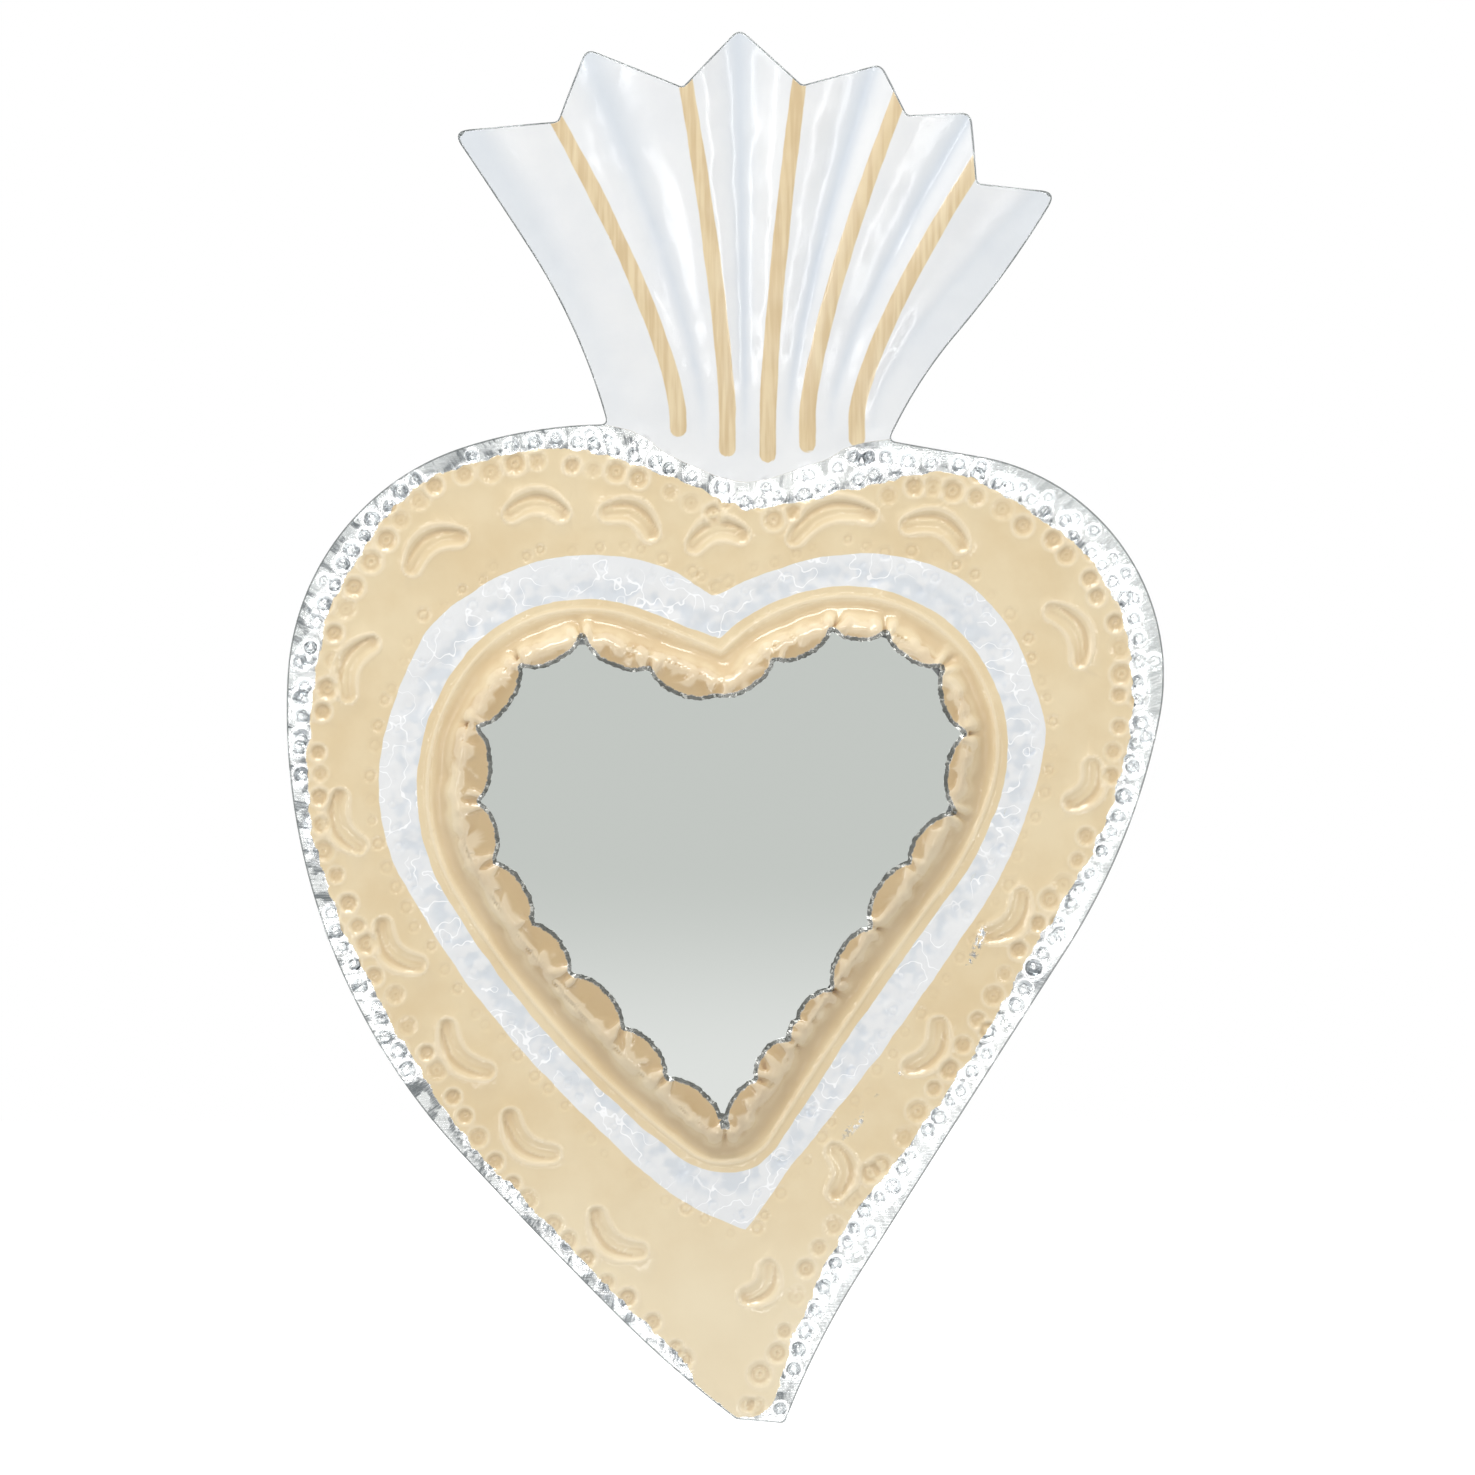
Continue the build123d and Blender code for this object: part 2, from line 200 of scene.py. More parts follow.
# Painted edges: the enamel band's outer edge, the lacquer's edge towards the bare border, and the crown's
# lower edge.
band_edge = np.vstack(
    [
        freehand(
            (
                (-2.0, 51.0), (9.0, 55.9), (20.1, 58.5), (32.0, 58.2), (43.1, 53.8), (51.3, 45.3),
                (55.9, 34.4), (57.5, 22.9), (50.2, 1.8), (40.7, -13.2), (27.7, -31.8), (12.0, -51.5),
                (3.6, -63.4),
            )
        ),
        freehand(
            (
                (3.6, -63.4), (-10.7, -55.8), (-25.8, -42.0), (-37.8, -29.4), (-48.6, -15.7), (-59.0, 1.8),
                (-62.2, 12.7), (-61.8, 24.1), (-58.4, 35.2), (-52.9, 45.8), (-43.6, 53.1), (-32.8, 57.6),
                (-21.2, 58.5), (-10.1, 56.0), (-2.0, 51.0),
            )
        ),
    ]
)  # fmt: skip
lacquer_edge = freehand(
    (
        (3.5, 66.6), (14.0, 68.2), (25.2, 71.0), (40.7, 73.2), (54.4, 66.5), (66.3, 57.0), (72.7, 43.0),
        (72.3, 24.0), (66.6, 6.1), (57.0, -10.5), (42.6, -34.4), (30.3, -51.7), (22.4, -61.3),
        (13.7, -78.9), (8.0, -95.0), (-1.0, -95.2), (-15.1, -80.8), (-36.3, -60.1), (-51.0, -40.5),
        (-62.8, -20.9), (-72.7, 1.8), (-75.2, 20.0), (-72.7, 43.5), (-66.6, 57.2), (-57.2, 69.4),
        (-43.3, 75.8), (-28.4, 77.6), (-13.4, 74.0), (3.5, 66.6),
    )
)  # fmt: skip
crown_foot = freehand(
    ((-60.0, 84.0), (-21.2, 81.9), (-9.0, 76.0), (3.6, 71.7), (17.0, 75.3), (29.2, 79.4), (80.0, 84.0))
)
ABOVE_CROWN = 170.0
crown_edge = np.vstack([crown_foot, [(80.0, ABOVE_CROWN), (-60.0, ABOVE_CROWN)]])

# The grid reaches a little past the outline on every side.
xs = np.arange(-80.6, 81.0, CELL)
zs = np.arange(-99.4, 155.0, CELL)
X, Z = np.meshgrid(xs, zs)


def inside(line, x_axis, z_axis):
    """Which points of a grid a closed line encloses."""
    after = np.roll(line, -1, 0)
    mask = np.zeros((len(z_axis), len(x_axis)), bool)
    for row, z in enumerate(z_axis):
        cut = (line[:, 1] <= z) != (after[:, 1] <= z)
        a, b = line[cut], after[cut]
        crossings = np.sort(a[:, 0] + (z - a[:, 1]) / (b[:, 1] - a[:, 1]) * (b[:, 0] - a[:, 0]))
        mask[row] = np.searchsorted(crossings, x_axis) % 2 == 1
    return mask


def nearest(points, line, closed=True, at_once=3000):
    """Distance from each point to a line, and the nearest point on it."""
    a, b = (line, np.roll(line, -1, 0)) if closed else (line[:-1], line[1:])
    d = b - a
    size = np.maximum((d**2).sum(1), 1e-9)
    far, near = [], []
    for block in np.array_split(points, max(1, len(points) // at_once)):
        from_a = block[:, None] - a
        t = np.clip((from_a[..., 0] * d[:, 0] + from_a[..., 1] * d[:, 1]) / size, 0, 1)
        qx, qz = a[:, 0] + t * d[:, 0], a[:, 1] + t * d[:, 1]
        gap = (block[:, None, 0] - qx) ** 2 + (block[:, None, 1] - qz) ** 2
        best = gap.argmin(1)
        rows = np.arange(len(block))
        far.append(np.sqrt(gap[rows, best]))
        near.append(np.stack([qx[rows, best], qz[rows, best]], 1))
    return np.concatenate(far), np.vstack(near)


def sampled(field, x, z, x_axis=xs, z_axis=zs):
    """A grid's values at any points."""
    u = np.clip((x - x_axis[0]) / (x_axis[1] - x_axis[0]), 0, len(x_axis) - 1.001)
    v = np.clip((z - z_axis[0]) / (z_axis[1] - z_axis[0]), 0, len(z_axis) - 1.001)
    i, j = u.astype(int), v.astype(int)
    u, v = u - i, v - j
    low = field[j, i] * (1 - u) + field[j, i + 1] * u
    high = field[j + 1, i] * (1 - u) + field[j + 1, i + 1] * u
    return low * (1 - v) + high * v


coarse_x, coarse_z = xs[::2], zs[::2]


def depth_inside(line):
    """Signed distance to a closed line over the whole grid, positive inside it."""
    gx, gz = np.meshgrid(coarse_x, coarse_z)
    far, _ = nearest(np.stack([gx.ravel(), gz.ravel()], 1), line)
    signed = np.where(inside(line, coarse_x, coarse_z), 1, -1) * far.reshape(gx.shape)
    return sampled(signed, X, Z, coarse_x, coarse_z)


def sharpened(field, line, reach=1.6):
    """The same field, worked out exactly near the line."""
    close = np.abs(field) < reach
    far, _ = nearest(np.stack([X[close], Z[close]], 1), line)
    out = field.copy()
    out[close] = np.where(inside(line, xs, zs)[close], far, -far)
    return out


in_outline = sharpened(depth_inside(outline), outline)
in_marked = depth_inside(marked)
in_window = sharpened(depth_inside(window), window)
in_band_edge = depth_inside(band_edge)
in_lacquer = depth_inside(lacquer_edge)
in_crown = depth_inside(crown_edge)


def rise(low, high, value):
    """From 0 to 1 between two values, smoothly."""
    t = np.clip((value - low) / (high - low), 0, 1)
    return t * t * (3 - 2 * t)


def waves(spacing, seed):
    """Gentle random swells over the grid, from -1 to 1."""
    local = np.random.default_rng(seed)
    ax = np.arange(xs[0] - spacing, xs[-1] + 2 * spacing, spacing)
    az = np.arange(zs[0] - spacing, zs[-1] + 2 * spacing, spacing)
    lattice = local.uniform(-1, 1, (len(az), len(ax)))
    u, v = (X - ax[0]) / spacing, (Z - az[0]) / spacing
    i, j = u.astype(int), v.astype(int)
    u, v = rise(0, 1, u - i), rise(0, 1, v - j)
    low = lattice[j, i] * (1 - u) + lattice[j, i + 1] * u
    high = lattice[j + 1, i] * (1 - u) + lattice[j + 1, i + 1] * u
    return low * (1 - v) + high * v


def swells(*layers):
    """Waves laid over each other. Each layer is its height, spacing and seed."""
    return sum(tall * waves(spacing, seed) for tall, spacing, seed in layers)


def crest(value, at, half_width):
    """A smooth crest of height 1 where the value reaches a level."""
    return np.exp(-(((value - at) / half_width) ** 2))


# A strip along the cut edge stays bare everywhere but at the tip.
BARE_STRIP = 2.5
BARE_ABOVE = (-93.0, -85.0)  # levels between which the strip comes in
in_lacquer = np.minimum(in_lacquer, in_outline - BARE_STRIP * rise(*BARE_ABOVE, Z))

# Crown: hollows and ridges take turns and fan out as they rise. Each line has its place at the neck and
# its spread by the crown's top, in shares of the crown's width.
FLUTES = (
    (-0.185, -0.381), (-0.079, -0.306), (-0.037, -0.224), (0.004, -0.089), (0.034, -0.013), (0.072, 0.067),
    (0.108, 0.164), (0.139, 0.209), (0.180, 0.335), (0.222, 0.374), (0.252, 0.607),
)  # fmt: skip
FLUTE_DEPTH = 2.2
FLUTE_START = 2.0  # from the neck up to where the lines begin to fan out
FLUTE_RUNOUT = 5.0  # from the neck down to where the flutes end
FLUTE_GROWTH = 0.7  # under 1, so they deepen fastest near the neck
FAN_CURVE = 1.35  # over 1, so the lines fan out more and more as they rise
RIDGE_SHARE, RIDGE_FULLNESS, RIDGE_WANDER = 0.93, 0.8, 0.05
climb = np.clip((zs - NECK - FLUTE_START) / CROWN[1], 0, 1)
lines = np.array([[(foot + spread * c**FAN_CURVE) * CROWN[0] for foot, spread in FLUTES] for c in climb])
phase = np.array([np.interp(xs, row, np.arange(len(row))) for row in lines])
ridge = 0.5 - 0.5 * np.cos(math.pi * phase)
grow = np.clip((zs - NECK + FLUTE_RUNOUT) / (CROWN[1] + FLUTE_RUNOUT), 0, 1)[:, None] ** FLUTE_GROWTH
height = FLUTE_DEPTH * grow * (RIDGE_SHARE * ridge**RIDGE_FULLNESS + RIDGE_WANDER * (1 + waves(9, 3)))

# Pocket: a raised line, the wall up to the hump, and the petals' slope down to the glass. Where each lies is
# measured inwards from the marked heart.
BEAD_INSET, BEAD_HALF, BEAD_HEIGHT = -0.3, 0.75, 0.26
RIM_ROOM = 0.28  # left in front of the hump for the dents' raised rims
PETAL_FRONT = 3.6  # level of the petals' front face where they lie on the glass
HUMP = FOREMOST - FLAT_FRONT - RIM_ROOM
ON_GLASS = PETAL_FRONT - FLAT_FRONT
WALL, SLOPE_IN = (1.2, 5.9), (6.0, 9.0)
hump_wander = 0.35 * waves(7, 5)
wall = rise(*WALL, in_marked + hump_wander)
height += BEAD_HEIGHT * np.cos(np.clip((in_marked - BEAD_INSET) / BEAD_HALF, -1, 1) * math.pi / 2) ** 2
height += HUMP * wall - (HUMP - ON_GLASS) * rise(*SLOPE_IN, in_marked + hump_wander)

# The petals are crumpled into soft lumps, with hollows between them.
CRUMPLED, LUMP_DEPTH, LUMP_EDGE = (3.9, 5.6), 0.62, (-0.25, 0.6)
height -= rise(*CRUMPLED, in_marked) * LUMP_DEPTH * rise(*LUMP_EDGE, swells((0.6, 3.8, 21), (0.5, 2.2, 22)))

# The crown and the sheet round the pocket swell a little, and are nowhere quite flat.
DIE_OUT = 3.0  # over which a swell dies out towards an edge
height += rise(0, DIE_OUT, in_crown) * swells((0.07, 5, 31), (0.03, 2.5, 32))
below_crown = 1 - rise(0, DIE_OUT, in_crown)
height += below_crown * (1 - wall) * swells((0.16, 16, 11), (0.08, 6, 12)) * rise(0, DIE_OUT, in_outline)


def around(x, z, reach):
    """The part of the grid within reach of a point."""
    i0, i1 = np.searchsorted(xs, (x - reach, x + reach))
    j0, j1 = np.searchsorted(zs, (z - reach, z + reach))
    return slice(j0, j1), slice(i0, i1)


def stamp(x, z, reach, profile):
    """Presses a round tool's profile into the sheet at one point."""
    patch = around(x, z, reach)
    height[patch] += profile(np.hypot(X[patch] - x, Z[patch] - z))


def ring_dot(radius, depth):
    """The dent of a nail set: a ring with a raised eye, in a slightly lifted rim.

    The places and half widths of the crests are in shares of the radius.
    """

    def profile(r):
        r = r / radius
        return depth * (0.3 * crest(r, 1.32, 0.2) - crest(r, 0.72, 0.3) - 0.35 * crest(r, 0, 0.16))

    return profile


def eyed_dot(radius, depth):
    """The dent of an eyelet punch: a flat-bottomed bowl with a small raised ring."""

    def profile(r):
        r = r / radius
        rim = 0.26 * crest(r, 1.28, 0.24) + 0.5 * crest(r, 0.36, 0.2)
        return depth * (rim - np.exp(-((r / 0.88) ** 4)))

    return profile


def dimple(radius, depth):
    """A soft round dent."""
    return lambda r: -depth * crest(r, 0, radius)


# Curved chisel marks: middle, in shares of the heart, slope of the chord, and length. Their bow faces the
# heart's edge.
MARKS = (
    (-0.215, 0.374, 0, 13.0), (-0.106, 0.364, -25, 12.6), (-0.010, 0.347, 12, 12.6), (0.120, 0.360, 17, 18.0),
    (0.242, 0.352, -20, 14.0), (-0.334, 0.334, 32, 14.0), (-0.424, 0.214, 65, 14.0),
    (-0.436, 0.056, 111, 13.4), (-0.376, -0.070, 132, 13.4), (-0.300, -0.174, 132, 14.6),
    (-0.226, -0.261, 139, 14.0), (-0.127, -0.359, 140, 14.0), (0.044, -0.407, 233, 10.5),
    (0.134, -0.292, 272, 11.5), (0.234, -0.170, 236, 13.0), (0.326, -0.040, 231, 13.0),
    (0.396, 0.248, 299, 14.0), (0.414, 0.092, 240, 11.5),
)  # fmt: skip
MARK_DEPTH, MARK_HALF, MARK_BOW, MARK_INSET = 0.6, 1.6, 0.17, 1.2
MARK_RIM, MARK_RIDGE = 0.22, 0.17  # heights of the lifted rim and of the line along the bottom
TIP_RING = (6.3, -89.1)
beaten = [np.array([TIP_RING])]  # where the rows of dents leave room
for share_x, share_z, slope, length in MARKS:
    middle_x, middle_z = share_x * HEART[0], share_z * HEART[1]
    cos, sin = math.cos(math.radians(slope)), math.sin(math.radians(slope))
    patch = around(middle_x, middle_z, length)
    east, north = X[patch] - middle_x, Z[patch] - middle_z
    along, across = east * cos + north * sin, north * cos - east * sin + MARK_INSET
    t = np.linspace(-1, 1, 17)
    spine = np.stack([t * (length / 2 - MARK_HALF), MARK_BOW * length * (1 - t**2)], 1)
    over, up = spine[:, 0], spine[:, 1] - MARK_INSET
    beaten.append(np.stack([middle_x + over * cos - up * sin, middle_z + over * sin + up * cos], 1))
    far, _ = nearest(np.stack([along.ravel(), across.ravel()], 1), spine, closed=False)
    # A mark narrows towards its ends, and far is in shares of its half width.
    share = np.clip(np.abs(along) / (length / 2), 0, 1)
    far = far.reshape(along.shape) / (MARK_HALF * (1.08 - 0.5 * share**2))
    # Its outer side is steep and its inner side slopes, and one end is struck deeper than the other.
    outer_side = across > MARK_BOW * length * (1 - (2 * along / length) ** 2)
    struck = np.clip(0.75 + 0.55 * along / length, 0.45, 1.0)
    pit = np.where(outer_side, rise(1.08, 0.45, far), rise(1.45, -0.3, far)) * struck
    height[patch] += MARK_RIM * crest(far, 1.42, 0.26) - MARK_DEPTH * pit + MARK_RIDGE * crest(far, 0, 0.22)
beaten = np.vstack(beaten)


def along_line(line, spacing, jitter, uneven=0.12):
    """Points at even steps along a closed line, a little out of true."""
    closed = np.vstack([line, line[:1]])
    run = np.r_[0, np.cumsum(np.hypot(*np.diff(closed, axis=0).T))]
    at = np.arange(0, run[-1] - spacing / 2, spacing)
    at = at + rng.normal(0, uneven * spacing, at.shape)
    points = np.stack([np.interp(at, run, closed[:, 0]), np.interp(at, run, closed[:, 1])], 1)
    return points + rng.normal(0, jitter, points.shape)


def pushed(points, field, by, probe=0.7):
    """Points moved up a field's slope by a distance."""
    x, z = points[:, 0], points[:, 1]
    gx = sampled(field, x + probe, z) - sampled(field, x - probe, z)
    gz = sampled(field, x, z + probe) - sampled(field, x, z - probe)
    size = np.maximum(np.hypot(gx, gz), 1e-6)
    return points + by * np.stack([gx / size, gz / size], 1)


def value_at(field, x, z):
    """A field's value at one point."""
    return sampled(field, np.array([x]), np.array([z]))[0]


def on_border(x, z):
    """Whether a dent fits on the bare border."""
    return value_at(in_outline, x, z) > 1.5 and value_at(in_crown, x, z) < -1.2


def on_lacquer(x, z):
    """Whether a dent in the lacquer keeps clear of the cut edge."""
    return value_at(in_outline, x, z) > 2.2


def anywhere(x, z):
    return True


CLEAR_OF_MARKS = 2.3  # from a dent's middle to the line along a mark
STAMP_REACH = 2.2  # radii over which a tool presses the sheet


def row_of_dents(line, field, inset, spacing, radius, depth, jitter, allowed, tool):
    """A row of dents along a line, moved inwards from it. Those that would fall on a mark are left out."""
    for x, z in pushed(along_line(line, spacing, jitter), field, inset):
        if allowed(x, z):
            dent = tool(radius * rng.uniform(0.8, 1.15), depth * rng.uniform(0.45, 1.2))
            if np.hypot(beaten[:, 0] - x, beaten[:, 1] - z).min() > CLEAR_OF_MARKS:
                stamp(x, z, STAMP_REACH * radius, dent)


# The line that each row follows and the field that it goes with, how far in from it the dents lie, their
# spacing, the tool's radius and depth, how far they stray, where they may lie, and the tool. A negative
# depth is beaten from behind.
ROWS = (
    (lacquer_edge, in_lacquer, 2.1, 5.0, 1.6, 0.54, 0.42, on_lacquer, eyed_dot),
    (lacquer_edge, in_lacquer, -1.6, 3.5, 1.3, 0.5, 0.35, on_border, ring_dot),
    (lacquer_edge, in_lacquer, -4.2, 4.6, 1.2, 0.4, 0.7, on_border, ring_dot),
    (band_edge, in_band_edge, -1.6, 4.1, 1.1, 0.16, 0.4, anywhere, ring_dot),
    (band_edge, in_band_edge, 1.9, 4.6, 1.1, 0.12, 0.5, anywhere, ring_dot),
    (marked, in_marked, -4.0, 3.1, 1.45, 0.26, 0.45, anywhere, dimple),
    (marked, in_marked, -5.9, 5.2, 1.2, 0.16, 0.7, anywhere, dimple),
    (marked, in_marked, 4.8, 3.7, 0.85, -0.26, 0.55, anywhere, dimple),
    (marked, in_marked, 7.4, 6.1, 0.9, -0.2, 0.8, anywhere, dimple),
    (marked, in_marked, 3.4, 6.1, 1.4, 0.25, 0.8, anywhere, dimple),
)
for row in ROWS:
    row_of_dents(*row)
stamp(*TIP_RING, 4.5, eyed_dot(2.0, 0.5))

# More rings are scattered over the bare tin at the crown's foot.
SCATTER_TRIES, SCATTER_X, SCATTER_Z = 26, (-14, 28), (64, 78)
for _ in range(SCATTER_TRIES):
    x, z = rng.uniform(*SCATTER_X), rng.uniform(*SCATTER_Z)
    if on_border(x, z) and value_at(in_lacquer, x, z) < 0.5:
        stamp(x, z, 2.6, ring_dot(1.2, 0.3))

# Each snip leaves a pinched fold in the sheet outside it, which widens as it runs out.
FOLD_RIM, FOLD_DEPTH, FOLD_TURN = 0.5, 0.7, 0.25
for x, z in snips:
    outward = (x, z) - pushed(np.array([[x, z]]), in_marked, 1.0)[0]
    turn = rng.normal(0, FOLD_TURN)
    cos, sin = math.cos(turn), math.sin(turn)
    out_x, out_z = cos * outward[0] - sin * outward[1], sin * outward[0] + cos * outward[1]
    along, aside = (X - x) * out_x + (Z - z) * out_z, (Z - z) * out_x - (X - x) * out_z
    run = rise(-1.2, 0.2, along) * rise(4.6, 0.8, along)
    widening = 1 + 0.35 * np.clip(along, 0, 3)
    rims = FOLD_RIM * crest(np.abs(aside) / widening, 0.95, 0.5)
    height += run * (rims - FOLD_DEPTH * crest(aside, 0, 0.42))
PETALS_FROM = 5.0  # in from the marked heart; further in, nothing dips into the glass
height = np.where(in_marked > PETALS_FROM, np.maximum(height, ON_GLASS), height)

# How far each point lies above or below its surroundings.
BLUR_CELLS, BLUR_ROUNDS = 2, 3
blurred = height.copy()
for _ in range(BLUR_ROUNDS):
    for axis in (0, 1):
        blurred = (np.roll(blurred, BLUR_CELLS, axis) + blurred + np.roll(blurred, -BLUR_CELLS, axis)) / 3
hollow = height - blurred
height = np.minimum(height, FOREMOST - FLAT_FRONT - HAIR)

# Mesh: the grid's cells inside the outline and outside the window, with the loose corners drawn onto the
# cut edges.
IN_BY = 0.3 * CELL  # a corner nearer to an edge than this is drawn onto it
kept = np.minimum(in_outline, -in_window) > IN_BY
cells = kept[:-1, :-1] | kept[1:, :-1] | kept[:-1, 1:] | kept[1:, 1:]
used = np.zeros_like(kept)
for corners_of_cells in (used[:-1, :-1], used[1:, :-1], used[:-1, 1:], used[1:, 1:]):
    corners_of_cells |= cells
number = np.full(used.shape, -1)
number[used] = np.arange(used.sum())
points = np.stack([X[used], Z[used]], 1)
loose = ~kept[used]
far_out, on_out = nearest(points[loose], outline)
far_in, on_in = nearest(points[loose], window)
points[loose] = np.where((far_out < far_in)[:, None], on_out, on_in)
j, i = np.nonzero(cells)
quads = np.stack([number[j, i], number[j, i + 1], number[j + 1, i + 1], number[j + 1, i]], 1)


def new_mesh(name, vertices, faces):
    """A mesh in metres from millimetres: X, forwards, Z."""
    mesh = bpy.data.meshes.new(name)
    co = np.stack([vertices[:, 0], -vertices[:, 1], vertices[:, 2]], 1) * MM
    mesh.vertices.add(len(co))
    mesh.vertices.foreach_set("co", co.astype(np.float32).ravel())
    mesh.loops.add(faces.size)
    mesh.loops.foreach_set("vertex_index", faces.astype(np.int32).ravel())
    mesh.polygons.add(len(faces))
    mesh.polygons.foreach_set("loop_start", np.arange(0, faces.size, faces.shape[1], dtype=np.int32))
    mesh.update(calc_edges=True)
    mesh.validate()
    return mesh


def new_object(name, data):
    """An object in the scene."""
    made = bpy.data.objects.new(name, data)
    bpy.context.scene.collection.objects.link(made)
    return made


# What the paint follows: how far the crown's stripes, the chips and the painted edges are, where the sheet is
# hollow, for the painted shade and highlights, and where the bare tin is darker.
FAR_OFF = 99.0
STRIPE_FEET = (79.9, 76.3, 75.2, 76.7, 77.8)  # levels of the stripes' lower ends, on every second line
STRIPE_HALF, STRIPE_TAPER, STRIPE_END = 1.5, 0.25, 1.4
# Chips in the lacquer are short lines.
CHIPS = (
    ((46.6, -9.0), (45.0, -13.0), (43.5, -17.5)),
    ((31.2, -35.0), (26.0, -41.5), (21.6, -46.2)),
    ((53.2, 54.6), (53.8, 53.8)),
)
CHIP_REACH = (14, 16)
# Where the bare tin is painted darker: X, Z and reach.
DARK_TIN_PATCHES = (
    (55.8, -17.0, 3.6), (-47.8, 74.2, 3.0), (25.3, 76.5, 3.2), (57.8, 65.8, 1.6), (-71.5, 41.0, 2.6),
    (-66.0, -9.0, 2.4),
)  # fmt: skip
BAND_GAP = 2.2  # from the enamel band in to the marked heart


def draw_near(field, line, close):
    """Lowers a field to the distance from a line, over the part of the grid that is close to it."""
    far, _ = nearest(np.stack([X[close], Z[close]], 1), line, closed=False)
    field[close] = np.minimum(field[close], far)


stripe_far, chip_far = np.full(X.shape, FAR_OFF), np.full(X.shape, FAR_OFF)
for stripe, foot_z in enumerate(STRIPE_FEET):
    column = lines[:, 2 * stripe + 1]
    upper = zs >= foot_z + STRIPE_END
    draw_near(stripe_far, np.stack([column[upper], zs[upper]], 1)[::3], np.abs(X - column[:, None]) < 6)
for chip in CHIPS:
    close = (np.abs(X - chip[0][0]) < CHIP_REACH[0]) & (np.abs(Z - chip[0][1]) < CHIP_REACH[1])
    draw_near(chip_far, np.array(chip), close)
dull = np.zeros_like(X)
for x, z, reach in DARK_TIN_PATCHES:
    dull = np.maximum(dull, np.exp(-(((X - x) ** 2 + (Z - z) ** 2) / reach**2)))
fields = {
    "lacquer": in_lacquer,
    "band": np.minimum(in_band_edge, -BAND_GAP - in_marked),
    "crown": in_crown,
    "stripe": STRIPE_HALF - STRIPE_TAPER * np.clip((Z - NECK) / CROWN[1], 0, 1) - stripe_far,
    "hollow": hollow,
    "valley": np.where(in_crown > -3, (1 - ridge) ** 5 * grow, 0.0),
    "dull": dull,
    "chip": chip_far,
    "to_outline": in_outline,
    "to_window": np.abs(in_window),
    "inwards": in_marked,
}

front = np.stack([points[:, 0], FLAT_FRONT + sampled(height, points[:, 0], points[:, 1]), points[:, 1]], 1)
triangles = np.vstack([quads[:, [0, 1, 2]], quads[:, [0, 2, 3]]])
grid_piece = new_object("grid", new_mesh("grid", front, triangles))

# The mesh is thinned where the sheet is smooth, but keeps a lattice of points along the paint's edges, and
# a closer one round the stripes' feet.
SHEET_FACES = 98000
PAINTED = ("lacquer", "band", "crown", "stripe", "to_outline", "to_window")
NEAR_PAINT, NEAR_STRIPE, FEET_BELOW = 2.4, 1.4, 84.0
lattice, closer = np.zeros_like(kept), np.zeros_like(kept)
lattice[::3, ::3] = True
closer[::2, ::2] = True
lattice &= np.minimum.reduce([np.abs(fields[name]) for name in PAINTED]) < NEAR_PAINT
closer &= (np.abs(fields["stripe"]) < NEAR_STRIPE) & (Z < FEET_BELOW)
may_go = grid_piece.vertex_groups.new(name="may_go")
may_go.add(np.nonzero(~(closer | lattice)[used])[0].tolist(), 1.0, "REPLACE")
thin = grid_piece.modifiers.new("thin", "DECIMATE")
thin.ratio = SHEET_FACES / len(triangles)
thin.vertex_group = "may_go"
lighter = bpy.data.meshes.new_from_object(grid_piece.evaluated_get(bpy.context.evaluated_depsgraph_get()))
bpy.data.objects.remove(grid_piece)

count = len(lighter.vertices)
co = np.empty(count * 3, np.float32)
lighter.vertices.foreach_get("co", co)
lowest, highest = np.array(cad_box) / MM + [[HAIR], [-HAIR]]
co = np.clip(co.reshape(-1, 3) / MM, lowest, highest)
# The fine relief gives the normals, so that the thinned mesh still shines like the worked sheet.
lean_x = sampled(np.gradient(height, CELL, axis=1), co[:, 0], co[:, 2])
lean_z = sampled(np.gradient(height, CELL, axis=0), co[:, 0], co[:, 2])
normal = np.stack([-lean_x, np.full(count, -1.0), -lean_z], 1)
normal /= np.linalg.norm(normal, axis=1)[:, None]

# The front faces, the back faces at the sheet's thickness behind them, and the cut edges between.
corner = np.empty(len(lighter.loops), np.int32)
lighter.loops.foreach_get("vertex_index", corner)
faces = corner.reshape(-1, 3)
a, b, c = (co[faces[:, side]] for side in range(3))
if np.cross(b - a, c - a)[:, 1].mean() > 0:
    faces = faces[:, ::-1]
directed = np.vstack([faces[:, [0, 1]], faces[:, [1, 2]], faces[:, [2, 0]]])
_, first, uses = np.unique(np.sort(directed, 1), axis=0, return_index=True, return_counts=True)
rim_a, rim_b = directed[first[uses == 1]].T
all_faces = np.vstack(
    [
        faces,
        faces[:, ::-1] + count,
        np.stack([rim_b, rim_a, rim_a + count], 1),
        np.stack([rim_b, rim_a + count, rim_b + count], 1),
    ]
)
both_sides = np.vstack([co, np.clip(co - SHEET * normal, lowest, highest)]) * (1, -1, 1)
sheet = new_object("worked_sheet", new_mesh("worked_sheet", both_sides, all_faces))

# What the paint follows, at every vertex.
for name, field in fields.items():
    values = np.tile(sampled(field, co[:, 0], co[:, 2]), 2)
    layer = sheet.data.attributes.new(name, "FLOAT", "POINT")
    layer.data.foreach_set("value", values.astype(np.float32))


